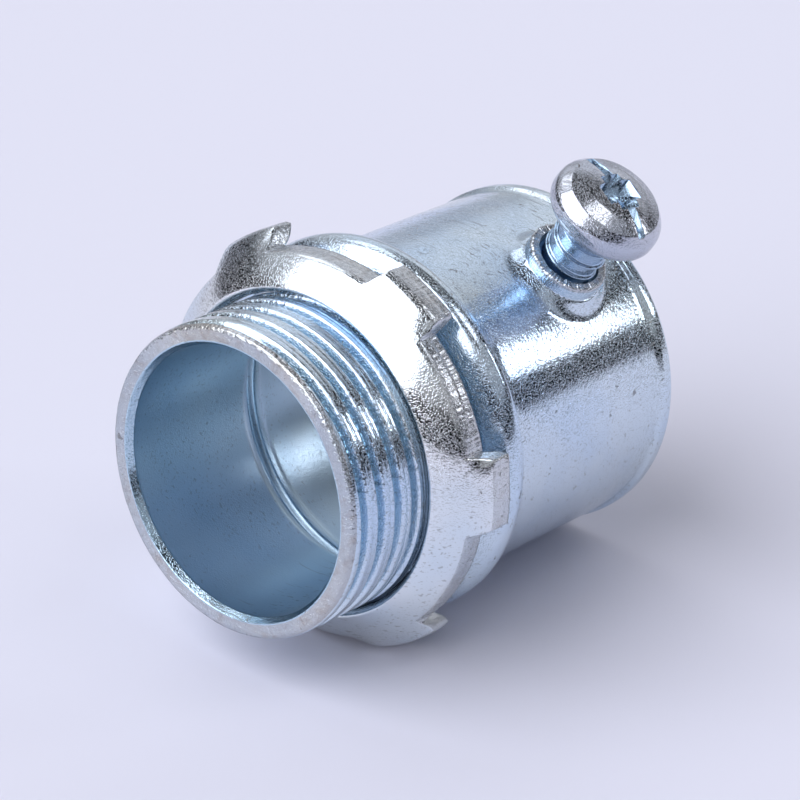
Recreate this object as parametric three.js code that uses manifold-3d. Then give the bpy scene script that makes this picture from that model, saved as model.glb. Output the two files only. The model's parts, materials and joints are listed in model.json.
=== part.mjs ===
// Set-screw conduit connector with its locknut, lying at rest.
// Units are millimetres. Each piece is first made in a working frame whose +Y
// runs along the fitting's axis from the nose to the sleeve and whose +Z is
// square to it, and is then laid down at the rest tilt with its lowest point
// on z = 0 and its bounding box centred over the origin.
import * as THREE from 'three';
import Module from 'manifold-3d';
import { mergeVertices } from 'three/addons/utils/BufferGeometryUtils.js';

// ---------- driving dimensions ----------
const LENGTH = 29.1;            // nose rim to sleeve rim
const SEGS = 60;                // facets round the fitting

// nose, with a rolled M20 x 1.5 thread
const NOSE_RIM_R = 9.86;
const NOSE_BORE_R = 8.6;
const THREAD_R = 10.0;          // over the crests
const THREAD_ROOT_R = 9.32;
const PITCH = 1.5;
const GROOVE_START = 0.39;      // centre of the first groove where it leaves the rim
const SEAM_ANGLE = -60;         // degrees from +Z towards +X, where it leaves the rim
const THREAD_TURNS = 5;
const ROWS_PER_PITCH = 6;

// shoulder bead that backs the locknut
const SHOULDER_Y = 11.0;
const SHOULDER_FLAT_R = 11.4;
const BEAD_R = 12.25;
const BEAD_Y = 12.3;
const BEAD_END_Y = 13.6;

// sleeve for the conduit
const SLEEVE_R = 11.1;
const SLEEVE_BORE_R = 10.12;
const RIM_R = 11.27;
const RIM_BAND = 1.15;          // length of the flared end band
const STOP_R = 9.72;            // crest of the rounded conduit stop
const STOP_Y = 12.6;

// screw boss, extruded from the sleeve wall
const SCREW_Y = 22.88;          // from the nose rim
const SCREW_ANGLE = 32.5;       // degrees from +Z towards +X
const BOSS_R = 2.62;
const BOSS_TOP = 12.5;          // from the fitting's axis
const BOSS_HOLE_R = 2.12;

// set screw, M4 x 0.7, backed out of its boss
const HEAD_SEAT = 16.25;        // underside of the head, from the fitting's axis
const HEAD_R = 3.68;
const HEAD_H = 2.8;
const HEAD_RING_R = 3.0;        // edge between side and crown
const SHANK_R = 2.0;
const SHANK_ROOT_R = 1.62;
const SHANK_PITCH = 0.7;
const SHANK_TIP = 10.25;        // end of the screw, from the fitting's axis
const SLOT_W = 0.95;
const SLOT_DEPTH = 0.85;
const CROSS_SPAN = 3.0;
const CROSS_DEPTH = 1.8;
const SLOT_TURN = 81.5;         // degrees from the fitting's axis, about the screw

// locknut, a dished stamping with six lobes
const NUT_HOLE_R = 10.14;
const NUT_LEAD_R = 10.55;       // lead-in bevel at the front face
const NUT_FRONT_Y = 6.09;       // front face at the hole
const NUT_NOTCH_R = 12.4;
const NUT_THICK = 1.55;         // along the axis
const DISH_SLOPE = 0.5;         // the dome's rise per unit of radius at the hole,
const DISH_CURVE = 0.13;        // and how fast that slope grows
const LOBE_FLANK = 3.4;         // degrees taken by the step down to a notch
const TOOTH_BEND = 0.55;        // how far a lobe's toothed corner is bent back
const TOOTH_WIDTH = 9;          // degrees over which it bends
// each lobe from notch to notch, degrees from +Z towards +X, then its radius,
// and which end carries the tooth: +1 for the larger angle
const LOBES = [
  [-46, -22.5, 13.65, 1],
  [14.5, 38.5, 13.4, 1],
  [73.5, 98, 13.42, -1],
  [134, 161, 13.6, -1],
  [199, 226, 13.6, -1],
  [253, 284, 13.6, 1],
];

// how it lies
const REST_TILT = 3.63;         // degrees, nose raised

const wasm = await Module();
wasm.setup();
const { Manifold, Mesh } = wasm;
const rad = (a) => a * Math.PI / 180;
const smooth = (x) => { const t = Math.min(1, Math.max(0, x)); return t * t * (3 - 2 * t); };

// A closed indexed surface from vertex and triangle lists.
function solid(verts, tris) {
  const made = new Manifold(new Mesh({
    numProp: 3,
    vertProperties: new Float32Array(verts.flat()),
    triVerts: new Uint32Array(tris.flat()),
  }));
  if (made.volume() <= 0) throw new Error('surface is inside out');
  return made;
}

// A closed three.js geometry as a solid, for joining and cutting.
function solidOf(geometry) {
  geometry.deleteAttribute('normal');
  geometry.deleteAttribute('uv');
  const { attributes, index } = mergeVertices(geometry, 1e-4);
  const verts = [], tris = [];
  for (let i = 0; i < attributes.position.count; i++) {
    verts.push([attributes.position.getX(i), attributes.position.getY(i), attributes.position.getZ(i)]);
  }
  for (let i = 0; i < index.count; i += 3) {
    const tri = [index.getX(i), index.getX(i + 1), index.getX(i + 2)];
    if (new Set(tri).size === 3) tris.push(tri);
  }
  return solid(verts, tris);
}

// Solid of revolution about +Z from a [radius, z] profile that starts and ends on the axis.
function turned(profile, segs) {
  const points = profile.map(([r, z]) => new THREE.Vector2(r, z));
  return solidOf(new THREE.LatheGeometry(points, segs).rotateX(Math.PI / 2));
}

// Ring-by-ring surface of revolution about +Y with one helical stretch in it.
// before and after are [y, r] profiles; the thread's own radius is a function
// of (y, angle). All rings share the same angles, so the pieces join exactly.
function threadedShell({ segs, loop, thread, flip, from = 0 }) {
  const verts = [];
  const tris = [];
  const put = (y, r, k) => {
    const a = rad(from) + 2 * Math.PI * k / segs;
    verts.push([r * Math.sin(a), y, r * Math.cos(a)]);
    return verts.length - 1;
  };
  const ring = ([y, r]) => Array.from({ length: segs }, (_, k) => put(y, r, k));
  const quadStrip = (a, b) => {
    for (let k = 0; k < segs; k++) {
      const n = (k + 1) % segs;
      tris.push([a[k], b[k], a[n]], [a[n], b[k], b[n]]);
    }
  };
  const rings = loop.map(ring);
  for (let i = 0; i < rings.length; i++) {
    const j = (i + 1) % rings.length;
    if (thread && i === thread.after) {
      const { start, turns, pitch, rows, radius, squeeze } = thread;
      const count = Math.round(turns * rows);
      // col[k][j] climbs one pitch per turn, so column segs meets column 0 one pitch up
      const col = [];
      for (let k = 0; k < segs; k++) {
        col.push([]);
        for (let r = 0; r <= count; r++) {
          const y = start + pitch * (r / rows + k / segs);
          col[k].push(put(squeeze ? squeeze(y) : y, radius(y, k / segs, r / rows), k));
        }
      }
      // past the seam: the first rows of column 0 below one pitch belong to the lower border
      for (let k = 0; k < segs; k++) {
        for (let r = 0; r < count; r++) {
          if (k < segs - 1) {
            const p = col[k][r], q = col[k][r + 1], s = col[k + 1][r], t = col[k + 1][r + 1];
            tris.push([p, q, s], [s, q, t]);
          } else if (r + 1 + rows <= count) {
            const p = col[k][r], q = col[k][r + 1], s = col[0][r + rows], t = col[0][r + 1 + rows];
            tris.push([p, q, s], [s, q, t]);
          }
        }
      }
      const low = rings[i], high = rings[j];
      for (let k = 0; k < segs - 1; k++) {
        tris.push([low[k], col[k][0], low[k + 1]], [low[k + 1], col[k][0], col[k + 1][0]]);
        tris.push([col[k][count], high[k], col[k + 1][count]], [col[k + 1][count], high[k], high[k + 1]]);
      }
      const last = segs - 1;
      // lower border at the seam: the last column's first vertex fans to column 0's first rows
      tris.push([low[last], col[last][0], low[0]]);
      tris.push([low[0], col[last][0], col[0][0]]);
      for (let r = 0; r < rows; r++) tris.push([col[0][r], col[last][0], col[0][r + 1]]);
      // upper border at the seam: the last column's top rows fan to the ring and to column 0's top
      const top = col[0][count];
      for (let r = count - rows; r < count; r++) tris.push([col[last][r], col[last][r + 1], top]);
      tris.push([col[last][count], high[last], top]);
      tris.push([top, high[last], high[0]]);
    } else {
      quadStrip(rings[i], rings[j]);
    }
  }
  return solid(verts, flip ? tris.map(([a, b, c]) => [a, c, b]) : tris);
}

// Rolled thread: a broad rounded crest and a narrower rounded groove.
const crest = (phase) => {
  const p = phase - Math.floor(phase);
  const c = 0.5 - 0.5 * Math.cos(2 * Math.PI * p);
  return Math.pow(c, 0.7);
};

// ---------- connector body ----------
const bodyLoop = [
  [0.0, NOSE_RIM_R - 0.34],
  [0.07, NOSE_RIM_R - 0.12],
  [0.24, NOSE_RIM_R],
  [SHOULDER_Y - 0.4, THREAD_ROOT_R],
  [SHOULDER_Y - 0.1, THREAD_ROOT_R + 0.1],
  [SHOULDER_Y, THREAD_ROOT_R + 0.4],
  [SHOULDER_Y, SHOULDER_FLAT_R],
  [SHOULDER_Y + 0.16, SHOULDER_FLAT_R + 0.42],
  [BEAD_Y - 0.68, BEAD_R - 0.12],
  [BEAD_Y, BEAD_R],
  [BEAD_Y + 0.5, BEAD_R - 0.14],
  [BEAD_END_Y - 0.42, SLEEVE_R + 0.48],
  [BEAD_END_Y - 0.1, SLEEVE_R + 0.08],
  [BEAD_END_Y + 0.1, SLEEVE_R - 0.03],
  [BEAD_END_Y + 0.35, SLEEVE_R],
  [LENGTH - RIM_BAND, SLEEVE_R],
  [LENGTH - RIM_BAND * 0.7, RIM_R - 0.03],
  [LENGTH - 0.4, RIM_R],
  [LENGTH - 0.1, RIM_R - 0.17],
  [LENGTH, RIM_R - 0.42],
  [LENGTH, SLEEVE_BORE_R + 0.22],
  [LENGTH - 0.4, SLEEVE_BORE_R],
  [STOP_Y + 0.75, SLEEVE_BORE_R],
  [STOP_Y + 0.4, STOP_R + 0.14],
  [STOP_Y, STOP_R],
  [STOP_Y - 0.4, STOP_R + 0.16],
  [STOP_Y - 0.62, SLEEVE_BORE_R + 0.02],
  [SHOULDER_Y + 0.8, SLEEVE_BORE_R - 0.06],
  [SHOULDER_Y + 0.5, 9.5],
  [SHOULDER_Y + 0.1, 8.95],
  [SHOULDER_Y - 0.5, NOSE_BORE_R],
  [0.42, NOSE_BORE_R],
  [0.0, NOSE_BORE_R + 0.26],
];
const shell = threadedShell({
  segs: SEGS,
  loop: bodyLoop,
  from: SEAM_ANGLE,
  thread: {
    after: 2,
    start: GROOVE_START - PITCH / 2,
    turns: THREAD_TURNS + 0.5,
    pitch: PITCH,
    rows: ROWS_PER_PITCH,
    // near the rim the rows are pressed together so that none passes it
    squeeze: (y) => (y > 0.7 ? y : 0.3 + 0.4 * Math.exp((y - 0.7) / 0.4)),
    radius: (y, turn, phase) => {
      const at = phase - 0.5;
      let c = crest(at);
      if (at < 0.5) c = 1 - (1 - c) * smooth(turn / 0.3);
      if (at > THREAD_TURNS - 1) c *= smooth((1 - turn) / 0.25);
      const r = THREAD_ROOT_R + (THREAD_R - THREAD_ROOT_R) * c;
      return Math.min(r, NOSE_RIM_R + 0.02 + 0.25 * Math.max(0, y));
    },
  },
  flip: true,
});

// Turns a solid made along +Z into one along the screw's axis.
function alongScrew(made) {
  return made.rotate([0, SCREW_ANGLE, 0]).translate([0, SCREW_Y, 0]);
}
const boss = alongScrew(turned([
  [0, 9.6], [BOSS_R + 1.2, 9.6], [BOSS_R + 1.0, 10.2], [BOSS_R + 0.7, 10.75], [BOSS_R + 0.4, 11.2],
  [BOSS_R + 0.15, 11.55], [BOSS_R, 11.9],
  [BOSS_R - 0.02, BOSS_TOP - 0.22], [BOSS_R - 0.2, BOSS_TOP], [0, BOSS_TOP],
], 36));
const screwHole = alongScrew(turned([
  [0, 8.0], [BOSS_HOLE_R, 8.0], [BOSS_HOLE_R, BOSS_TOP - 0.25],
  [BOSS_HOLE_R + 0.22, BOSS_TOP], [BOSS_HOLE_R + 0.22, BOSS_TOP + 1], [0, BOSS_TOP + 1],
], 28));
const sleeveInside = turned([
  [0, 14], [SLEEVE_BORE_R, 14], [SLEEVE_BORE_R, LENGTH - 1], [0, LENGTH - 1],
], SEGS).rotate([-90, 0, 0]);
const body = shell.add(boss.subtract(sleeveInside)).subtract(screwHole);

// ---------- locknut ----------
// The outline as angle and radius corners, filled in to an even spacing.
function nutOutline() {
  const out = [];
  LOBES.forEach(([a0, a1, radius, side], i) => {
    const tooth = side > 0 ? a1 - LOBE_FLANK : a0 + LOBE_FLANK;
    const at = (a, r) => out.push({ a, r, radius, side, tooth });
    const w = a1 - a0 - 2 * LOBE_FLANK;
    at(a0, NUT_NOTCH_R);
    at(a0 + LOBE_FLANK - 0.5, radius - 0.3);
    at(a0 + LOBE_FLANK + 0.9, radius);
    const steps = Math.max(2, Math.round(w / 5));
    for (let k = 1; k < steps; k++) at(a0 + LOBE_FLANK + w * k / steps, radius + 0.03);
    at(a1 - LOBE_FLANK - 0.9, radius);
    at(a1 - LOBE_FLANK + 0.5, radius - 0.3);
    at(a1, NUT_NOTCH_R);
    const next = i + 1 < LOBES.length ? LOBES[i + 1][0] : LOBES[0][0] + 360;
    const gap = next - a1, n = Math.round(gap / 6);
    for (let k = 1; k < n; k++) out.push({ a: a1 + gap * k / n, r: NUT_NOTCH_R, side: 0 });
  });
  return out;
}
// A lobe's toothed corner leans back towards the shoulder.
function toothBend(p, r) {
  if (!p.side) return 0;
  const from = (p.tooth - p.a) * p.side;
  const across = 1 - Math.min(1, Math.max(0, from / TOOTH_WIDTH));
  const along = smooth((r - 12.0) / (p.radius - 12.2));
  return TOOTH_BEND * Math.pow(across, 1.4) * along;
}
const outline = nutOutline();
function nutSolid() {
  const verts = [], tris = [];
  const front = (r) => NUT_FRONT_Y + DISH_SLOPE * (r - NUT_LEAD_R) + DISH_CURVE * (r - NUT_LEAD_R) ** 2;
  const rings = [];
  const addRing = (f) => rings.push(outline.map((p) => {
    const [r, y] = f(p);
    const a = rad(p.a);
    verts.push([r * Math.sin(a), y, r * Math.cos(a)]);
    return verts.length - 1;
  }));
  const mid = (p, t) => NUT_LEAD_R + (p.r - NUT_LEAD_R) * t;
  const fr = (r, p) => [r, front(r) + toothBend(p, r)];
  const bk = (r, p) => [r, front(r) + NUT_THICK + toothBend(p, r)];
  addRing(() => [NUT_HOLE_R, NUT_FRONT_Y + 0.5]);
  addRing(() => [NUT_LEAD_R, NUT_FRONT_Y + 0.06]);
  addRing(() => [NUT_LEAD_R + 0.22, front(NUT_LEAD_R + 0.22)]);
  addRing((p) => fr(mid(p, 0.55), p));
  addRing((p) => fr(mid(p, 0.82), p));
  addRing((p) => fr(mid(p, 0.96), p));
  addRing((p) => { const [r, y] = fr(p.r, p); return [r, y + 0.14]; });
  addRing((p) => { const [r, y] = bk(p.r - 0.1, p); return [r, y - 0.05]; });
  addRing((p) => bk(mid(p, 0.93) - 0.1, p));
  addRing((p) => bk(mid(p, 0.55), p));
  addRing(() => [NUT_LEAD_R, front(NUT_LEAD_R) + NUT_THICK]);
  addRing(() => [NUT_HOLE_R, front(NUT_LEAD_R) + NUT_THICK + 0.05]);
  const n = outline.length;
  for (let i = 0; i < rings.length; i++) {
    const a = rings[i], b = rings[(i + 1) % rings.length];
    for (let k = 0; k < n; k++) {
      const m = (k + 1) % n;
      tris.push([a[k], a[m], b[k]], [a[m], b[m], b[k]]);
    }
  }
  return solid(verts, tris);
}
const nut = nutSolid();

// ---------- set screw ----------
// Made along +Y like the body, head outward, then turned to +Z.
const HS = HEAD_SEAT, HT = HEAD_SEAT + HEAD_H;
const shankTurns = 7;
const screwShell = threadedShell({
  segs: 24,
  loop: [
    [SHANK_TIP, 1.15],
    [SHANK_TIP + 0.3, SHANK_ROOT_R],
    [HS - 0.5, SHANK_ROOT_R],
    [HS - 0.14, SHANK_ROOT_R + 0.08],
    [HS, SHANK_ROOT_R + 0.35],
    [HS, HEAD_R - 0.55],
    [HS + 0.14, HEAD_R - 0.22],
    [HS + 0.5, HEAD_R - 0.02],
    [HS + 0.95, HEAD_R],
    [HS + 1.45, HEAD_R - 0.1],
    [HS + 1.85, HEAD_R - 0.33],
    [HS + 2.1, HEAD_RING_R],
    [HS + 2.4, HEAD_RING_R * 0.74],
    [HS + 2.64, HEAD_RING_R * 0.42],
    [HT, 0.35],
    [HT, 0.02],
    [SHANK_TIP, 0.02],
  ],
  thread: {
    after: 1,
    start: SHANK_TIP + 0.38,
    turns: shankTurns,
    pitch: SHANK_PITCH,
    rows: 4,
    radius: (y, turn, phase) => {
      const p = phase - Math.floor(phase);
      let c = Math.min(1, (1 - Math.abs(2 * p - 1)) * 1.35);
      if (phase < 1) c *= smooth(turn / 0.6);
      if (phase > shankTurns - 1) c *= smooth((1 - turn) / 0.35);
      return SHANK_ROOT_R + (SHANK_R - SHANK_ROOT_R) * c;
    },
  },
  flip: true,
});
// closes the hair-thin core left down the screw's axis
const core = turned([[0, SHANK_TIP], [0.3, SHANK_TIP], [0.3, HT], [0, HT]], 12);

// A tapered blade, length by width at the mouth and at the foot, that cuts
// one arm of the cross recess.
function blade(mouth, foot, depth) {
  const box = new THREE.BoxGeometry(1, 1, depth);
  const at = box.attributes.position;
  for (let i = 0; i < at.count; i++) {
    const [w, l] = at.getZ(i) > 0 ? mouth : foot;
    at.setXY(i, at.getX(i) * w, at.getY(i) * l);
  }
  return solidOf(box).translate([0, 0, HT + 0.05 - depth / 2]);
}
const slot = blade([SLOT_W, 9], [SLOT_W, 9], SLOT_DEPTH + 0.05);
const recess = slot
  .add(blade([SLOT_W, CROSS_SPAN], [SLOT_W * 0.6, CROSS_SPAN * 0.43], CROSS_DEPTH))
  .add(blade([CROSS_SPAN, SLOT_W], [CROSS_SPAN * 0.43, SLOT_W * 0.6], CROSS_DEPTH))
  .rotate([0, 0, SLOT_TURN]);
const screw = alongScrew(screwShell.rotate([90, 0, 0]).add(core).subtract(recess));

// ---------- lay the pieces down ----------
const pieces = [
  ['connector_body', body, { color: 0xc3cbd4, roughness: 0.34, metalness: 1.0 }],
  ['locknut', nut, { color: 0xd2d7dc, roughness: 0.3, metalness: 1.0 }],
  ['set_screw', screw, { color: 0xcbd0d8, roughness: 0.24, metalness: 1.0 }],
];
const tilted = pieces.map(([name, s, look]) => [name, s.rotate([-REST_TILT, 0, 0]), look]);
const lo = [Infinity, Infinity, Infinity], hi = [-Infinity, -Infinity, -Infinity];
for (const [, s] of tilted) {
  const b = s.boundingBox();
  for (let i = 0; i < 3; i++) { lo[i] = Math.min(lo[i], b.min[i]); hi[i] = Math.max(hi[i], b.max[i]); }
}
const shift = [-(lo[0] + hi[0]) / 2, -(lo[1] + hi[1]) / 2, -lo[2]];

const group = new THREE.Group();
group.name = 'set_screw_connector';
for (const [name, s, look] of tilted) {
  const m = s.translate(shift).getMesh();
  let g = new THREE.BufferGeometry();
  const pos = new Float32Array(m.triVerts.length * 3);
  for (let i = 0; i < m.triVerts.length; i++) {
    for (let c = 0; c < 3; c++) pos[i * 3 + c] = m.vertProperties[m.triVerts[i] * m.numProp + c];
  }
  g.setAttribute('position', new THREE.BufferAttribute(pos, 3));
  g = mergeVertices(g, 1e-4);
  g.computeVertexNormals();
  const mesh = new THREE.Mesh(g, new THREE.MeshStandardMaterial(look));
  mesh.name = name;
  group.add(mesh);
}
export default group;
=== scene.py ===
"""Looks for a zinc-plated set-screw conduit connector with its locknut.

Every piece is modelled in the fitting's own working frame, in millimetres:
y runs along its axis from the nose's rim to the sleeve's end, z is square to
it and up, x is to the right seen from the nose. place() takes it from there to
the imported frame. Angles round the axis are in degrees from +z towards +x.
"""
import json
import math

import bmesh
import bpy
import numpy as np
from mathutils import Matrix, Vector


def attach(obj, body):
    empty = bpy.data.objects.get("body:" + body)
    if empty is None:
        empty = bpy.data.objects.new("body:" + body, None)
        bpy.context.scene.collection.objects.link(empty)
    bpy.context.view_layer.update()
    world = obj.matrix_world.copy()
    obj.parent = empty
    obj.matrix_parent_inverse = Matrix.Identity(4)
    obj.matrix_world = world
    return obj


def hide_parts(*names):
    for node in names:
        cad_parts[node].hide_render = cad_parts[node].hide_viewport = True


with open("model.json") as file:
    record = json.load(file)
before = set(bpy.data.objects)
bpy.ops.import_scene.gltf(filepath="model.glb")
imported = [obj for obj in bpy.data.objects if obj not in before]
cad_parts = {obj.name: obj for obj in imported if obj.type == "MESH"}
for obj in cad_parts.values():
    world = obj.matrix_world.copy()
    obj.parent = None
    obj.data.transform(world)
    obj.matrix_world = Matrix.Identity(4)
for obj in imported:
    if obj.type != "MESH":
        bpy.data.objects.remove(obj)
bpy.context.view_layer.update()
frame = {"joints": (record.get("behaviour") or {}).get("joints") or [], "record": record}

# ---------- the working frame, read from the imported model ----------
MM = 0.001
joints = {j["name"]: j for j in frame["joints"]}
mounts = {m["name"]: m for m in frame["record"]["mounts"]}
AXIS = -Vector(joints["locknut_travel"]["axis"]).normalized()      # nose to sleeve
TILT = math.asin(-AXIS.z)
UP = Vector((0, math.sin(TILT), math.cos(TILT)))
SCREW_OUT = Vector(joints["set_screw_travel"]["axis"]).normalized()
RIM_POINT_Z = 9.2                       # the nose_end mount's height over the axis
NOSE = Vector(mounts["nose_end"]["pos_m"]) - UP * RIM_POINT_Z * MM
FRAME_AXES = np.array([[1, 0, 0], list(AXIS), list(UP)])


def place(points):
    """Working-frame millimetres to packed-frame metres."""
    return np.asarray(points, dtype=float) @ FRAME_AXES * MM + np.array(NOSE)


# ---------- dimensions, mm ----------
LENGTH = 29.1
RIM_R = 9.86
NOSE_BORE_R = 8.6

# rolled thread on the nose
CREST_R = 10.0
ROOT_R = 9.3
PITCH = 1.5
FIRST_GROOVE_Y = 0.653
GROOVES = 5
SEAM = -60.0                            # degrees, where the first groove begins
FLANK = 0.3                             # length of a groove's side along the axis
LEAD_IN_R = 9.78                        # crest radius at the rim
LEAD_IN_SLOPE = 0.5
THREAD_END_Y = 10.55

# shoulder bead, conduit stop and sleeve
SHOULDER_Y = 11.0
BEAD_R = 12.27
STOP_R = 9.72
STOP_GROOVE_R = 10.1
SLEEVE_R = 11.1
SLEEVE_BORE_R = 10.12
END_BAND_R = 11.27
SLEEVE_MIDDLE_Y = 20.5
BARREL = 0.001                          # how fast the sleeve narrows away from its middle
DENT_Y = 15.7
DENT_ANGLE = 4.7

# screw boss
SCREW_Y = 22.88
SCREW_ANGLE = math.degrees(math.atan2(SCREW_OUT.x, SCREW_OUT.dot(UP)))
BOSS_R = 2.62
BOSS_HOLE_R = 2.06
BOSS_TOP = 12.5                         # from the fitting's axis
BOSS_PITCH = 0.7                        # an M4 thread's; the screw's is drawn as in the photo
FLARE_REACH = 1.2
FLARE_HEIGHT = 0.62

# set screw
HEAD_SEAT = 16.25                       # underside of the head, from the fitting's axis
HEAD_H = 2.8
SHANK_R = 1.82
SHANK_PITCH = 1.05
SHANK_TIP = 10.25
SLOT_TURN = 81.5                        # degrees from the fitting's axis

# locknut
NUT_HOLE_R = 10.14
NUT_LEAD_R = 10.55
NUT_FRONT_Y = 6.09
NUT_BEVEL = 0.5                         # depth of the lead-in bevel
NUT_NOTCH_R = 12.42
NUT_THICK = 1.6
NUT_EDGE_ROUND = 0.12
# each lobe from notch to notch, its radius, and which end has the tooth
LOBES = ((-46, -22.5, 13.65, 1), (14.5, 38.5, 13.4, 1), (73.5, 98, 13.42, -1),
         (134, 161, 13.42, -1), (199, 226, 13.42, -1), (253, 284, 13.6, 1))
TOOTH_FLANK = 2.2                       # degrees taken by a lobe's two ends
PLAIN_FLANK = 3.6

PLATED, ROUGH, BORE = 0, 1, 2           # material indices: plated face, torn metal, inside with painted shade


# ---------- small mesh tools ----------
def smooth(x):
    t = np.clip(x, 0.0, 1.0)
    return t * t * (3 - 2 * t)


def wobble(a, waves, seed):
    """A smooth repeating wave round the fitting: a in degrees, values about -1 to 1."""
    draw = np.random.default_rng(seed)
    total = np.zeros_like(np.asarray(a, dtype=float))
    for k in waves:
        total = total + np.sin(np.radians(a) * k + draw.uniform(0, 2 * math.pi)) * draw.uniform(0.5, 1)
    return total / len(waves)


def rounded(corners, step, arc_step=10.0):
    """An open [y, r] outline from (y, r, fillet radius) corners, with arcs at
    the corners and no stretch longer than step, a length or a function of the
    point where the stretch ends."""
    points = [np.array(corners[0][:2], dtype=float)]
    for before, here, after in zip(corners, corners[1:], corners[2:]):
        p0, p1, p2 = (np.array(c[:2], dtype=float) for c in (before, here, after))
        d0, d1 = (p0 - p1), (p2 - p1)
        l0, l1 = np.linalg.norm(d0), np.linalg.norm(d1)
        d0, d1 = d0 / l0, d1 / l1
        half = math.acos(np.clip(d0 @ d1, -1, 1)) / 2
        if here[2] <= 0 or half > math.pi / 2 - 0.01:
            points.append(p1)
            continue
        cut = min(here[2] / math.tan(half), l0 * 0.49, l1 * 0.49)
        radius = cut * math.tan(half)
        centre = p1 + (d0 + d1) / np.linalg.norm(d0 + d1) * radius / math.sin(half)
        start, end = p1 + d0 * cut - centre, p1 + d1 * cut - centre
        turn = math.atan2(start[0] * end[1] - start[1] * end[0], start @ end)
        count = max(2, int(abs(math.degrees(turn)) / arc_step))
        for k in range(count + 1):
            c, s = math.cos(turn * k / count), math.sin(turn * k / count)
            spoke = np.array([start[0] * c - start[1] * s, start[0] * s + start[1] * c])
            points.append(centre + spoke)
    points.append(np.array(corners[-1][:2], dtype=float))
    line = [points[0]]
    for p in points[1:]:
        gap = np.linalg.norm(p - line[-1])
        if gap < 1e-6:
            continue
        parts = max(1, math.ceil(gap / (step(p) if callable(step) else step)))
        line += [line[-1] + (p - line[-1]) * k / parts for k in range(1, parts + 1)]
    return np.array(line)


def mesh_object(name, points, faces):
    """A smooth-shaded object from an array of packed-frame points."""
    mesh = bpy.data.meshes.new(name)
    mesh.from_pydata(points.tolist(), [], faces)
    mesh.validate()
    mesh.shade_smooth()
    obj = bpy.data.objects.new(name, mesh)
    bpy.context.scene.collection.objects.link(obj)
    return obj


def ring_grid(name, y, r, angles, finish):
    """A closed tube: y and r are (rings, columns) arrays whose last ring joins
    the first, and finish is the material index of each ring's faces."""
    a = np.radians(angles)[None, :]
    points = np.stack([r * np.sin(a), y, r * np.cos(a)], axis=-1)
    rings, cols = y.shape
    index = np.arange(rings * cols).reshape(rings, cols)
    i, j = np.roll(index, -1, axis=0), np.roll(index, -1, axis=1)
    ij = np.roll(i, -1, axis=1)
    quads = np.stack([index, j, ij, i], axis=-1).reshape(-1, 4)
    obj = mesh_object(name, place(points.reshape(-1, 3)), quads.tolist())
    obj.data.polygons.foreach_set("material_index", np.repeat(np.asarray(finish, dtype=int), cols))
    return obj


def along_screw(points):
    """Points made along +z, in mm, turned to stand along the set screw's axis."""
    a = math.radians(SCREW_ANGLE)
    x, y, z = points[:, 0], points[:, 1], points[:, 2]
    across = x * math.cos(a) + z * math.sin(a)
    height = z * math.cos(a) - x * math.sin(a)
    return place(np.stack([across, y + SCREW_Y, height], axis=-1))


def lathe(name, profile, columns, radius=None, finish=None):
    """A closed solid of revolution about the screw's axis, from a [z, r] profile
    that starts and ends at a small radius and is capped there. radius reshapes
    its z and r over the angles, and finish gives a material index at (z, r)."""
    a = np.linspace(0, 2 * math.pi, columns, endpoint=False)
    z = np.repeat(profile[:, :1], columns, axis=1)
    r = np.repeat(profile[:, 1:], columns, axis=1)
    if radius is not None:
        z, r = radius(z, r, np.degrees(a)[None, :])
    points = np.stack([r * np.sin(a)[None, :], r * np.cos(a)[None, :], z], axis=-1).reshape(-1, 3)
    rings = len(profile)
    index = np.arange(rings * columns).reshape(rings, columns)
    nxt = np.roll(index, -1, axis=1)
    quads = np.stack([index[:-1], index[1:], nxt[1:], nxt[:-1]], axis=-1).reshape(-1, 4).tolist()
    caps = [index[0].tolist(), index[-1][::-1].tolist()]
    obj = mesh_object(name, along_screw(points), quads + caps)
    if finish is not None:
        mean = (profile[:-1] + profile[1:]) / 2
        marks = np.repeat([finish(z, r) for z, r in mean], columns).tolist() + [0, 0]
        obj.data.polygons.foreach_set("material_index", marks)
    return obj


def outward(obj):
    """Turns a closed mesh's faces outwards."""
    bm = bmesh.new()
    bm.from_mesh(obj.data)
    bmesh.ops.recalc_face_normals(bm, faces=bm.faces)
    if bm.calc_volume(signed=True) < 0:
        bmesh.ops.reverse_faces(bm, faces=bm.faces)
    bm.to_mesh(obj.data)
    bm.free()
    return obj


def boolean(obj, tool, operation):
    """Joins tool to obj, or cuts it away, and removes the tool."""
    mod = obj.modifiers.new("cut", "BOOLEAN")
    mod.operation = operation
    mod.solver = "MANIFOLD"
    mod.object = tool
    bpy.context.view_layer.update()
    depsgraph = bpy.context.evaluated_depsgraph_get()
    made = bpy.data.meshes.new_from_object(obj.evaluated_get(depsgraph))
    obj.modifiers.clear()
    obj.data = made
    bpy.data.objects.remove(tool)


# ---------- materials ----------
def nodes_of(name):
    """A new material's tree with an output and a Principled shader."""
    mat = bpy.data.materials.new(name)
    mat.use_nodes = True
    tree = mat.node_tree
    tree.nodes.clear()
    out = tree.nodes.new("ShaderNodeOutputMaterial")
    bsdf = tree.nodes.new("ShaderNodeBsdfPrincipled")
    tree.links.new(bsdf.outputs[0], out.inputs[0])
    return mat, tree, bsdf


def noise(tree, coord, scale, detail=3.0, rough=0.55, distortion=0.0):
    node = tree.nodes.new("ShaderNodeTexNoise")
    node.inputs["Scale"].default_value = scale
    node.inputs["Detail"].default_value = detail
    node.inputs["Roughness"].default_value = rough
    node.inputs["Distortion"].default_value = distortion
    tree.links.new(coord, node.inputs["Vector"])
    return node.outputs["Fac"]


def stretched(tree, coord, scale, turn=(0, 0, 0)):
    node = tree.nodes.new("ShaderNodeMapping")
    node.inputs["Scale"].default_value = scale
    node.inputs["Rotation"].default_value = [math.radians(t) for t in turn]
    tree.links.new(coord, node.inputs["Vector"])
    return node.outputs[0]


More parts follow.
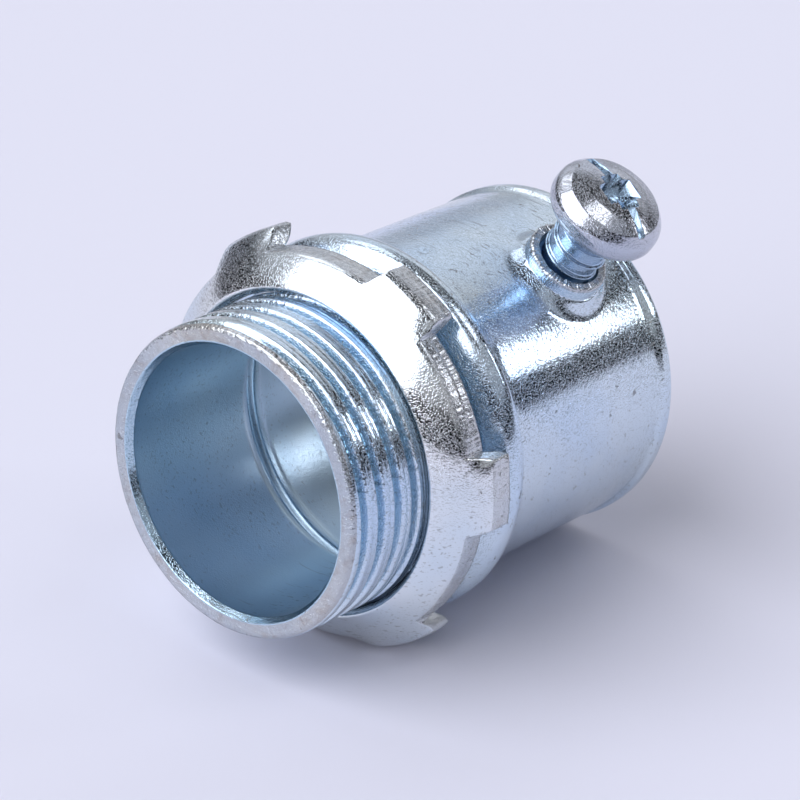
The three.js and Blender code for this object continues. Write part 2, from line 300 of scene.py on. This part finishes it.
def ramp(tree, value, *stops):
    """A grey that follows a value through (position, grey) stops."""
    node = tree.nodes.new("ShaderNodeValToRGB")
    line = node.color_ramp
    while len(line.elements) < len(stops):
        line.elements.new(0.5)
    for element, (at, grey) in zip(line.elements, stops):
        element.position = at
        element.color = (grey, grey, grey, 1)
    tree.links.new(value, node.inputs[0])
    return node.outputs[0]


def mixed(tree, factor, a, b):
    """Colour a turning into colour b: each of the three is a socket or a value."""
    node = tree.nodes.new("ShaderNodeMix")
    node.data_type = "RGBA"
    for value, socket in ((factor, node.inputs[0]), (a, node.inputs[6]), (b, node.inputs[7])):
        if isinstance(value, bpy.types.NodeSocket):
            tree.links.new(value, socket)
        else:
            socket.default_value = value if isinstance(value, float) else (*value, 1)
    return node.outputs[2]


def maths(tree, op, a, b=0.0, clamp=False):
    node = tree.nodes.new("ShaderNodeMath")
    node.operation = op
    node.use_clamp = clamp
    for value, socket in ((a, node.inputs[0]), (b, node.inputs[1])):
        if isinstance(value, bpy.types.NodeSocket):
            tree.links.new(value, socket)
        else:
            socket.default_value = value
    return node.outputs[0]


def bumped(tree, height, strength, distance, under=None):
    node = tree.nodes.new("ShaderNodeBump")
    node.inputs["Strength"].default_value = strength
    node.inputs["Distance"].default_value = distance
    tree.links.new(height, node.inputs["Height"])
    if under is not None:
        tree.links.new(under, node.inputs["Normal"])
    return node.outputs[0]


def axis_distance(tree, coord):
    """Distance from the fitting's axis, in mm."""
    off = tree.nodes.new("ShaderNodeVectorMath")
    off.operation = "SUBTRACT"
    tree.links.new(coord, off.inputs[0])
    off.inputs[1].default_value = NOSE
    cross = tree.nodes.new("ShaderNodeVectorMath")
    cross.operation = "CROSS_PRODUCT"
    tree.links.new(off.outputs[0], cross.inputs[0])
    cross.inputs[1].default_value = AXIS
    length = tree.nodes.new("ShaderNodeVectorMath")
    length.operation = "LENGTH"
    tree.links.new(cross.outputs[0], length.inputs[0])
    return maths(tree, "MULTIPLY", length.outputs["Value"], 1 / MM)


def hairlines(tree, coord):
    """Fine straight scratches in three directions, each in broken runs."""
    marks = None
    for i, (turn, stretch) in enumerate((((20, 35, 0), 60), ((70, -30, 25), 75), ((-35, 10, 60), 90))):
        lines = noise(tree, stretched(tree, coord, (stretch, 5200, 5200), turn), 1.0, 2.0, 0.5)
        hair = ramp(tree, lines, (0.64, 0.0), (0.67, 1.0))
        runs = ramp(tree, noise(tree, coord, 170 + 60 * i, 2.0), (0.48, 0.0), (0.58, 1.0))
        hair = maths(tree, "MULTIPLY", hair, runs)
        marks = hair if marks is None else maths(tree, "MAXIMUM", marks, hair)
    return marks


def crystals(tree, coord):
    """Height of the plating's crystalline grain."""
    grit = ramp(tree, noise(tree, coord, 9200, 1.0, 0.5), (0.50, 0.0), (0.60, 1.0))
    medium = noise(tree, coord, 4200, 3.0, 0.6)
    return maths(tree, "ADD", maths(tree, "MULTIPLY", grit, 0.35), maths(tree, "MULTIPLY", medium, 0.5))


def zinc(name, base, cool, warm, rough, grain, scratches=0.5, wear=0.4, groove_shade=None, brown=0.0, pits=0.0):
    """Bright zinc plate with a thin passivated film: cloudy cool and warm
    tints, a fine crystalline grain, hairline scratches, specks and stains.
    groove_shade is painted shade, a darker bluer colour towards the thread's roots; brown adds bare patches,
    and pits roughens torn metal."""
    mat, tree, bsdf = nodes_of(name)
    coord = tree.nodes.new("ShaderNodeTexCoord").outputs["Object"]
    cloud = noise(tree, coord, 150, 2.0, 0.5)
    colour = mixed(tree, ramp(tree, cloud, (0.38, 0.0), (0.66, 1.0)), base, cool)
    film = noise(tree, coord, 95, 1.0, 0.4, 0.4)
    colour = mixed(tree, ramp(tree, film, (0.55, 0.0), (0.72, 0.55)), colour, warm)
    # painted shade: the plate turns darker and bluer from the thread's crests down to its roots
    if groove_shade is not None:
        depth = tree.nodes.new("ShaderNodeMapRange")
        depth.inputs["From Min"].default_value = CREST_R - 0.1
        depth.inputs["From Max"].default_value = ROOT_R + 0.15
        tree.links.new(axis_distance(tree, coord), depth.inputs["Value"])
        colour = mixed(tree, depth.outputs[0], colour, groove_shade)
    if brown > 0:
        bare = ramp(tree, noise(tree, coord, 900, 5.0, 0.7), (0.50, 0.0), (0.68, brown))
        colour = mixed(tree, bare, colour, (0.30, 0.22, 0.15))
    marks = hairlines(tree, coord)
    specks = ramp(tree, noise(tree, coord, 1900, 3.0, 0.6, 0.6), (0.665, 0.0), (0.72, 1.0))
    stains = ramp(tree, noise(tree, coord, 420, 4.0, 0.65), (0.60, 0.0), (0.78, 1.0))
    dirt = maths(tree, "ADD", maths(tree, "MULTIPLY", marks, 0.8 * scratches),
                 maths(tree, "MULTIPLY", specks, 1.6 * wear), clamp=True)
    colour = mixed(tree, dirt, colour, (0.16, 0.15, 0.15))
    colour = mixed(tree, maths(tree, "MULTIPLY", stains, 0.22 * wear), colour, (0.42, 0.40, 0.38))
    tree.links.new(colour, bsdf.inputs["Base Color"])
    bsdf.inputs["Metallic"].default_value = 1.0
    dull = maths(tree, "MULTIPLY", ramp(tree, cloud, (0.3, 0.0), (0.75, 1.0)), 0.04)
    dull = maths(tree, "ADD", dull, rough)
    dull = maths(tree, "ADD", dull, maths(tree, "MULTIPLY", dirt, 0.35), clamp=True)
    tree.links.new(dull, bsdf.inputs["Roughness"])
    normal = bumped(tree, crystals(tree, coord), grain, 0.00003)
    normal = bumped(tree, maths(tree, "SUBTRACT", 1.0, marks), 0.25 * scratches, 0.00002, normal)
    normal = bumped(tree, noise(tree, coord, 700, 2.0), 0.05, 0.00010, normal)
    if pits > 0:
        normal = bumped(tree, noise(tree, coord, 3600, 1.0, 0.4), pits, 0.00012, normal)
    tree.links.new(normal, bsdf.inputs["Normal"])
    return mat


# each node's materials in the order of the material indices; None takes the
# plated one, and the screw's last is on its shank and in its recess. The third
# ones are darker and bluer than the plate: painted shade for the insides
FINISHES = {
    "body": (
        # the plate's last colour is painted shade for the thread's grooves
        zinc("body_zinc_plate", (0.68, 0.78, 0.86), (0.58, 0.72, 0.88), (0.74, 0.82, 0.80),
             rough=0.07, grain=0.85, groove_shade=(0.50, 0.66, 0.78)),
        zinc("body_zinc_torn", (0.58, 0.61, 0.64), (0.48, 0.53, 0.59), (0.58, 0.56, 0.50),
             rough=0.2, grain=1.2, scratches=0.15, brown=0.4, pits=0.6),
        # painted shade: the insides are darker and bluer than the plate
        zinc("body_zinc_bore_painted_shade", (0.50, 0.64, 0.75), (0.42, 0.58, 0.72), (0.56, 0.67, 0.73),
             rough=0.3, grain=0.3, scratches=0.4, wear=0.1)),
    "nut": (
        zinc("locknut_zinc_plate", (0.82, 0.85, 0.87), (0.70, 0.79, 0.86), (0.80, 0.82, 0.77),
             rough=0.06, grain=0.6),
        zinc("locknut_zinc_sheared", (0.70, 0.73, 0.76), (0.58, 0.64, 0.70), (0.68, 0.66, 0.60),
             rough=0.24, grain=1.0, scratches=0.2, brown=0.2, pits=0.2),
        None),
    "screw": (
        zinc("screw_zinc_plate", (0.60, 0.63, 0.69), (0.50, 0.55, 0.65), (0.64, 0.63, 0.62),
             rough=0.1, grain=0.9, scratches=0.3, wear=0.5),
        None,
        # painted shade: the recess and the shank are darker and bluer than the head
        zinc("screw_zinc_recess_painted_shade", (0.42, 0.56, 0.72), (0.34, 0.50, 0.70), (0.50, 0.60, 0.70),
             rough=0.16, grain=0.6, scratches=0.2, wear=0.2)),
}


def dress(obj, kind):
    """Gives a mesh its node's materials, the plated one standing in for any it lacks."""
    for mat in FINISHES[kind]:
        obj.data.materials.append(mat or FINISHES[kind][PLATED])


# ---------- the nose's rolled thread ----------
def thread_radius(y, angles):
    """Radius over the nose's thread at distance y and each angle."""
    past_seam = (angles - SEAM) % 360.0
    to_seam = 360.0 - past_seam
    a = past_seam + SEAM
    drift = 0.035 * wobble(a, (2, 3, 5, 9), 11)
    phase = (y + drift - FIRST_GROOVE_Y) / PITCH - a / 360.0
    nearest = np.round(phase)
    off = np.abs(phase - nearest) * PITCH
    half_floor = 0.1 + 0.03 * wobble(a, (3, 7, 13), 5) + 0.03 * wobble(a, (61, 97, 139, 173, 211), 15)
    groove = 1 - smooth((off - half_floor) / FLANK)
    # the first groove deepens from nothing, and past the last the wall stays at its root
    groove = groove * np.where(nearest < 0, 0.0, np.where(nearest == 0, smooth(past_seam / 110.0), 1.0))
    groove = np.where(phase > GROOVES, 1.0, groove)
    groove = np.where((phase > GROOVES - 1) & (phase <= GROOVES),
                      1 - (1 - groove) * smooth(to_seam / 70.0), groove)
    from_crest = np.abs(phase - np.floor(phase) - 0.5)
    rolled_seam = 0.02 * np.exp(-(from_crest * PITCH / 0.05) ** 2)
    crest = CREST_R - rolled_seam * (groove < 0.05) - 0.02 * (from_crest * 2) ** 2
    radius = crest - (crest - ROOT_R) * groove
    return np.minimum(radius, LEAD_IN_R + LEAD_IN_SLOPE * np.maximum(y, 0))


# ---------- connector body ----------
def flare(y, angles):
    """Height of the fillet that the boss is drawn up from, over the sleeve."""
    across = SLEEVE_R * np.sin(np.radians(angles - SCREW_ANGLE))
    near_side = np.cos(np.radians(angles - SCREW_ANGLE)) > 0
    t = np.clip((np.hypot(across, y - SCREW_Y) - BOSS_R) / FLARE_REACH, 0, 1)
    return np.where(near_side, FLARE_HEIGHT * (1 - t) ** 2, 0.0)


def wall_outline():
    """The tube's closed [y, r] section, and how many of its points are outside."""
    def outer_step(p):
        return 0.07 if p[0] < 10 else (0.14 if 17 < p[0] < 26.5 else 0.3)

    nose = rounded([
        (0.45, NOSE_BORE_R, 0), (0.0, NOSE_BORE_R + 0.28, 0.05), (0.0, RIM_R, 0.3), (10.8, RIM_R, 0)], 0.06)
    sleeve = rounded([
        (10.62, ROOT_R, 0), (SHOULDER_Y, ROOT_R, 0.3), (SHOULDER_Y, 10.9, 0.5), (11.75, BEAD_R - 0.16, 0.9),
        (12.4, BEAD_R, 0.6), (13.0, BEAD_R - 0.1, 0.6), (13.45, SLEEVE_R, 0.28), (27.85, SLEEVE_R, 0.6),
        (28.2, END_BAND_R, 0.3), (LENGTH, END_BAND_R, 0.42),
        (LENGTH, SLEEVE_BORE_R + 0.1, 0.1), (LENGTH - 0.3, SLEEVE_BORE_R, 0.3)],
        outer_step)
    inner = rounded([
        (LENGTH - 0.3, SLEEVE_BORE_R, 0), (13.3, SLEEVE_BORE_R, 0.5), (12.95, STOP_R, 0.3),
        (12.4, STOP_R, 0.3), (12.1, STOP_GROOVE_R, 0.22), (11.62, STOP_GROOVE_R, 0.35),
        (11.0, 9.0, 0.5), (10.3, NOSE_BORE_R, 0.6), (0.45, NOSE_BORE_R, 0)],
        lambda p: 0.3 if p[0] > 13.4 else 0.12)
    outer = np.vstack([nose, sleeve[1:]])
    return np.vstack([outer, inner[1:-1]]), len(outer)


def make_tube():
    """The pressed tube: nose, thread, bead, sleeve and end band."""
    columns = 600
    angles = SEAM + np.arange(columns) * 360.0 / columns
    section, outer_count = wall_outline()
    y = np.repeat(section[:, :1], columns, axis=1)
    r = np.repeat(section[:, 1:], columns, axis=1)
    a = np.broadcast_to(angles[None, :], y.shape)
    is_outer = (np.arange(len(section)) < outer_count)[:, None]
    threaded = is_outer & (y > 0.05) & (y < THREAD_END_Y) & (r > RIM_R - 0.8)
    r = np.where(threaded, np.minimum(thread_radius(y, a), r + 0.2), r)
    sleeve = is_outer & (y > 14) & (y < 28)
    r = np.where(sleeve, r + flare(y, a), r)
    r = np.where(sleeve, r - BARREL * (y - SLEEVE_MIDDLE_Y) ** 2, r)
    # one sharp dent with a raised lip, and a barely uneven wall
    from_dent = np.hypot((y - DENT_Y) / 0.22, SLEEVE_R * np.radians(a - DENT_ANGLE) / 0.34)
    dent = 0.035 * np.exp(-(from_dent - 1.5) ** 2 * 3) - 0.12 * np.exp(-from_dent ** 2)
    r = np.where(sleeve, r + dent, r)
    r = np.where(is_outer & (y > 11.2), r + 0.012 * wobble(a, (2, 3, 4, 7), 3), r)
    # the rim's rolled burr
    rim = is_outer & (y < 0.35) & (r > 9.0)
    r = np.where(rim, r + 0.02 * wobble(a, (11, 17, 29, 41, 67), 21), r)
    # the insides take the darker, bluer material: painted shade
    finish = np.where((y < 0.3) & (r > 8.95), ROUGH, np.where(is_outer, PLATED, BORE))[:, 0]
    tube = outward(ring_grid("connector_body_shell", y, r, angles, finish))
    dress(tube, "body")
    return tube


def make_boss():
    """The boss drawn out of the sleeve's wall, torn along its lip."""
    profile = rounded([
        (9.9, 0.3, 0), (9.9, BOSS_R, 0), (BOSS_TOP, BOSS_R + 0.02, 0.16),
        (BOSS_TOP, BOSS_HOLE_R + 0.05, 0.04), (BOSS_TOP - 0.35, BOSS_HOLE_R, 0),
        (BOSS_TOP - 0.45, 0.3, 0)], 0.07)

    def ragged(z, r, a):
        lip = smooth((z - BOSS_TOP + 0.45) / 0.4) * (r > BOSS_HOLE_R - 0.05)
        torn = 0.06 * wobble(a, (5, 9, 14, 23), 8) + 0.10 * wobble(a, (37, 53, 71, 97), 9)
        ribs = 0.012 * np.sin(np.radians(a) * 90) * smooth((z - BOSS_TOP + 0.8) / 0.5)
        outside = np.where(r > BOSS_HOLE_R + 0.2, 0.05 * wobble(a, (19, 31, 47), 6) * lip + ribs, 0)
        return z + torn * lip, r + outside

    def finish(z, r):
        return ROUGH if z > BOSS_TOP - 0.3 else PLATED

    boss = outward(lathe("boss", profile, 300, ragged, finish))
    dress(boss, "body")
    return boss


def make_tapped_hole():
    """The tool that cuts the boss's threaded hole."""
    low, high = 8.2, 14.6
    profile = rounded([(low, 0.3, 0), (low, BOSS_HOLE_R, 0), (high, BOSS_HOLE_R, 0), (high, 0.3, 0)], 0.35)

    def tapped(z, r, a):
        phase = z / BOSS_PITCH - a / 360.0
        ridge = np.abs(phase - np.round(phase)) * 2
        return z, np.where(r > 1.5, r + 0.16 * smooth(ridge) * smooth((BOSS_TOP - 0.1 - z) / 0.3), r)

    hole = outward(lathe("drill", profile, 120, tapped, lambda z, r: BORE))
    dress(hole, "body")
    return hole


def make_body():
    body = make_tube()
    boolean(body, make_boss(), "UNION")
    boolean(body, make_tapped_hole(), "DIFFERENCE")
    return body


# ---------- locknut ----------
def nut_front(r):
    """Height of the dished front face at radius r."""
    over = np.maximum(r - NUT_LEAD_R, 0)
    return NUT_FRONT_Y + 0.5 * over + 0.13 * over ** 2


def nut_outline(angles):
    """Edge radius, and how far each angle belongs to a tooth and to its corner, 0 to 1."""
    edge = np.full(len(angles), NUT_NOTCH_R)
    tooth = np.zeros(len(angles))
    corner = np.zeros(len(angles))
    for low, high, radius, side in LOBES:
        a = (angles - low + 180) % 360 - 180 + low
        tooth_end = high if side > 0 else low
        plain_end = low if side > 0 else high
        from_tooth = (tooth_end - a) * side
        from_plain = (a - plain_end) * side
        up = smooth(from_tooth / TOOTH_FLANK) ** 0.7 * smooth(from_plain / PLAIN_FLANK)
        inside = (from_tooth > 0) & (from_plain > 0)
        edge = np.where(inside, NUT_NOTCH_R + (radius - NUT_NOTCH_R) * up, edge)
        tooth = np.where(inside, np.clip(1 - (from_tooth - 1.5) / 6.0, 0, 1), tooth)
        corner = np.where(inside, np.clip(1 - (from_tooth - 0.4) / 2.8, 0, 1), corner)
    return edge + 0.03 * wobble(angles, (3, 7, 12, 19), 41), tooth, corner


def make_nut():
    columns = 1440
    angles = np.arange(columns) * 360.0 / columns + SEAM
    edge, tooth, corner = nut_outline(angles)
    ragged = 0.014 * wobble(angles, (60, 97, 143, 188, 233), 42)
    ragged = ragged + 0.008 * wobble(angles, (271, 307, 339), 43)
    worn = 0.35 * corner                               # the ears' rear corners are knocked round
    back_edge = edge - NUT_EDGE_ROUND - worn
    hole_back = nut_front(NUT_LEAD_R) + NUT_THICK
    rows = []

    def bend(r):
        """How far the teeth are bent back at radius r."""
        return 0.12 * tooth ** 1.3 * smooth((r - 12.1) / 1.2) + 0.22 * corner * smooth((r - 12.6) / 0.5)

    def row(r, y, finish=PLATED):
        rows.append((np.broadcast_to(r, angles.shape), np.broadcast_to(y, angles.shape), finish))

    for t in np.linspace(0, 1, 6):                     # lead-in bevel
        row(NUT_HOLE_R + (NUT_LEAD_R - NUT_HOLE_R) * t, NUT_FRONT_Y + NUT_BEVEL * (1 - t) ** 1.4)
    for t in np.linspace(0, 1, 26)[1:]:                # domed front
        r = NUT_LEAD_R + (edge - NUT_EDGE_ROUND - NUT_LEAD_R) * t
        row(r, nut_front(r) + bend(r) + 0.015 * wobble(angles, (2, 5, 8), 44) * t)
    face = nut_front(edge) + bend(edge)
    for t, inset in ((0.05, 0.05), (0.12, 0.01)):      # rolled-over corner
        row(edge - inset + ragged * t * 3, face + t, ROUGH)
    for t in np.linspace(0.2, 1, 12):                  # sheared, then torn
        torn = smooth((t - 0.55) / 0.1)
        r = edge + 0.04 * t - 0.05 * torn + ragged * (1 + torn) - worn * t ** 2
        row(r, face + NUT_THICK * t - 0.05, ROUGH)
    for t in np.linspace(0, 1, 12):                    # back
        r = back_edge + (NUT_LEAD_R - back_edge) * t
        row(r, nut_front(r) + bend(r) + NUT_THICK)
    row(NUT_HOLE_R + 0.1, hole_back + 0.02)
    for t in np.linspace(0, 1, 14)[1:-1]:              # the hole's own thread
        y = hole_back + (NUT_FRONT_Y + NUT_BEVEL - hole_back) * t
        phase = y / PITCH - angles / 360.0
        row(NUT_HOLE_R + 0.18 * smooth(np.abs(phase - np.round(phase)) * 2), y)
    radii, heights, finishes = zip(*rows)
    nut_piece = outward(ring_grid("locknut_plate", np.array(heights), np.array(radii), angles, finishes))
    dress(nut_piece, "nut")
    return nut_piece


# ---------- set screw ----------
def make_screw():
    seat, top = HEAD_SEAT, HEAD_SEAT + HEAD_H
    profile = rounded([
        (SHANK_TIP, 0.2, 0), (SHANK_TIP, 1.3, 0.1), (SHANK_TIP + 0.4, SHANK_R, 0.2),
        (seat - 0.45, SHANK_R, 0.2), (seat - 0.1, 1.88, 0.2), (seat, 2.2, 0.25), (seat, 3.3, 0.3),
        (seat + 0.45, 3.68, 0.6), (seat + 1.4, 3.66, 0.9), (seat + 2.1, 3.06, 0.2), (seat + 2.52, 2.05, 1.5),
        (top - 0.03, 0.9, 2.0), (top, 0.2, 0)], lambda p: 0.05 if p[0] < seat - 0.1 else 0.09)

    def threads(z, r, a):
        phase = (z - SHANK_TIP) / SHANK_PITCH - a / 360.0
        ridge = 1 - np.abs(phase - np.round(phase)) * 2
        fade = smooth((z - SHANK_TIP - 0.1) / 0.4) * smooth((seat - 0.9 - z) / 0.4)
        on_shank = (z < seat - 0.25) & (r > 1.2)
        return z, np.where(on_shank, r - 0.08 + 0.22 * smooth((ridge - 0.7) / 0.26) * fade, r)

    def finish(z, r):
        return BORE if z < seat - 0.2 else PLATED

    screw = outward(lathe("set_screw_fine", profile, 240, threads, finish))
    dress(screw, "screw")
    for tool in recess_tools(top):
        dress(tool, "screw")
        # the recess walls take the painted-shade material
        tool.data.polygons.foreach_set("material_index", [BORE] * len(tool.data.polygons))
        boolean(screw, tool, "DIFFERENCE")
    return screw


def wedge(name, mouth, foot, top, depth):
    """A tapered block, (x, y) half-sizes at its mouth and foot, sunk into the head."""
    c, s = math.cos(math.radians(SLOT_TURN)), math.sin(math.radians(SLOT_TURN))
    points = []
    for (w, l), z in ((foot, top - depth), (mouth, top + 0.4)):
        for x, y in ((-w, -l), (w, -l), (w, l), (-w, l)):
            points.append((x * c - y * s, x * s + y * c, z))
    faces = [(0, 1, 2, 3), (4, 5, 6, 7), (0, 1, 5, 4), (1, 2, 6, 5), (2, 3, 7, 6), (3, 0, 4, 7)]
    return outward(mesh_object(name, along_screw(np.array(points)), faces))


def recess_tools(top):
    """The slot, then the cross in two steps, a deep one and its wide mouth."""
    return [
        wedge("slot", (0.36, 3.7), (0.26, 3.3), top, 0.8),
        wedge("arm_a", (0.85, 1.45), (0.5, 1.0), top, 1.25),
        wedge("arm_b", (1.45, 0.85), (1.0, 0.5), top, 1.25),
        wedge("mouth_a", (1.3, 1.9), (0.6, 1.2), top, 0.25),
        wedge("mouth_b", (1.9, 1.3), (1.2, 0.6), top, 0.25)]


# ---------- pieces ----------
body = make_body()
nut = make_nut()
screw = make_screw()
for piece, node, slot_name in (
        (body, "connector_body", "body_zinc"),
        (nut, "locknut", "locknut_zinc"),
        (screw, "set_screw", "screw_zinc")):
    piece.name = node + "_detail"
    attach(piece, node)
    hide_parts(node)

# ---------- floor, light and camera ----------
FLOOR_HALF = 1.5                        # metres
floor_corners = [(x * FLOOR_HALF, y * FLOOR_HALF, 0) for x, y in ((-1, -1), (1, -1), (1, 1), (-1, 1))]
floor_mesh = bpy.data.meshes.new("floor")
floor_mesh.from_pydata(floor_corners, [], [(0, 1, 2, 3)])
floor = bpy.data.objects.new("floor", floor_mesh)
bpy.context.scene.collection.objects.link(floor)
floor_mat, _, floor_bsdf = nodes_of("pale_floor")
floor_bsdf.inputs["Base Color"].default_value = (0.73, 0.73, 0.83, 1)
floor_bsdf.inputs["Roughness"].default_value = 0.7
floor_mesh.materials.append(floor_mat)


def toward_dot(tree, ray, direction):
    """How far a ray points along a direction."""
    dot = tree.nodes.new("ShaderNodeVectorMath")
    dot.operation = "DOT_PRODUCT"
    tree.links.new(ray, dot.inputs[0])
    dot.inputs[1].default_value = direction
    return dot.outputs["Value"]


def soft_edge(tree, value, outside, inside, strength=1.0):
    """0 at outside, rising smoothly to strength at inside."""
    spread = tree.nodes.new("ShaderNodeMapRange")
    spread.interpolation_type = "SMOOTHSTEP"
    spread.inputs["From Min"].default_value = outside
    spread.inputs["From Max"].default_value = inside
    spread.inputs["To Max"].default_value = strength
    tree.links.new(value, spread.inputs["Value"])
    return spread.outputs[0]


def patch(tree, ray, toward, size, edge, strength, total):
    """Adds to total a soft round patch of light around a direction: size and
    edge are half-angles in degrees."""
    along = toward_dot(tree, ray, Vector(toward).normalized())
    outside = math.cos(math.radians(size + edge))
    inside = math.cos(math.radians(size - edge))
    return maths(tree, "ADD", total, soft_edge(tree, along, outside, inside, strength))


def panel(tree, ray, toward, half_width, half_height, edge, strength, total):
    """Adds to total a soft-edged upright rectangle of light: sizes in degrees."""
    ahead = Vector(toward).normalized()
    side = ahead.cross(Vector((0, 0, 1))).normalized()
    masks = []
    for across, half in ((side, half_width), (side.cross(ahead), half_height)):
        away = maths(tree, "ABSOLUTE", toward_dot(tree, ray, across))
        outside = math.sin(math.radians(half + edge))
        inside = math.sin(math.radians(half - edge))
        masks.append(soft_edge(tree, away, outside, inside))
    shape = maths(tree, "MULTIPLY", masks[0], masks[1])
    return maths(tree, "ADD", total, maths(tree, "MULTIPLY", shape, strength))


world = bpy.data.worlds.new("studio")
bpy.context.scene.world = world
world.use_nodes = True
wt = world.node_tree
wt.nodes.clear()
w_out = wt.nodes.new("ShaderNodeOutputWorld")
w_bg = wt.nodes.new("ShaderNodeBackground")
wt.links.new(w_bg.outputs[0], w_out.inputs[0])
ray = wt.nodes.new("ShaderNodeTexCoord").outputs["Generated"]
split = wt.nodes.new("ShaderNodeSeparateXYZ")
wt.links.new(ray, split.inputs[0])
# black at the horizon, pale walls above it and a dark ceiling
level = ramp(wt, split.outputs["Z"],
             (0.0, 0.0), (0.26, 0.0), (0.36, 0.40), (0.68, 0.5), (0.8, 0.08), (1.0, 0.04))
light = patch(wt, ray, (-0.50, 0.85, 0.16), 36, 14, 0.5, level)          # paper sweep behind
light = patch(wt, ray, (0.52, 0.72, 0.60), 16, 4, -0.6, light)           # dark wall round the window
light = panel(wt, ray, (0.57, 0.71, 0.40), 3.4, 8.0, 1.2, 7.0, light)    # window behind, to the right
light = patch(wt, ray, (-0.25, -0.72, 0.66), 33, 2, 3.4, light)          # key softbox, left shoulder
light = patch(wt, ray, (-0.60, 0.15, 0.80), 14, 4, 1.6, light)           # overhead softbox, left
light = patch(wt, ray, (0.45, 0.2, 0.88), 11, 2, 2.6, light)             # overhead softbox, right
wt.links.new(maths(wt, "MAXIMUM", light, 0.01), w_bg.inputs["Strength"])
w_bg.inputs["Color"].default_value = (0.93, 0.94, 1.0, 1)

scene = bpy.context.scene
scene.view_settings.view_transform = "Standard"

# The camera looks level along azimuth 41.3, elevation 29 at a fitting whose
# nose is raised 4.97 degrees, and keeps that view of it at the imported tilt.
VIEW_AZIMUTH, VIEW_ELEVATION, VIEW_TILT = 41.3, 29.0, 4.97
CAMERA_AT = (129.3, -140.6, 96.1)       # working frame, mm
camera = bpy.data.objects.new("camera", bpy.data.cameras.new("camera"))
scene.collection.objects.link(camera)
scene.camera = camera
camera.data.sensor_width = 36
camera.data.lens = 160.3
camera.data.clip_start = 0.01
swing = Matrix.Rotation(math.radians(VIEW_AZIMUTH), 3, "Z")
view = swing @ Matrix.Rotation(math.radians(90 - VIEW_ELEVATION), 3, "X")
lean = Matrix.Rotation(math.radians(VIEW_TILT) - TILT, 3, "X")
camera.matrix_world = (lean @ view).to_4x4()
camera.location = Vector(place(CAMERA_AT))
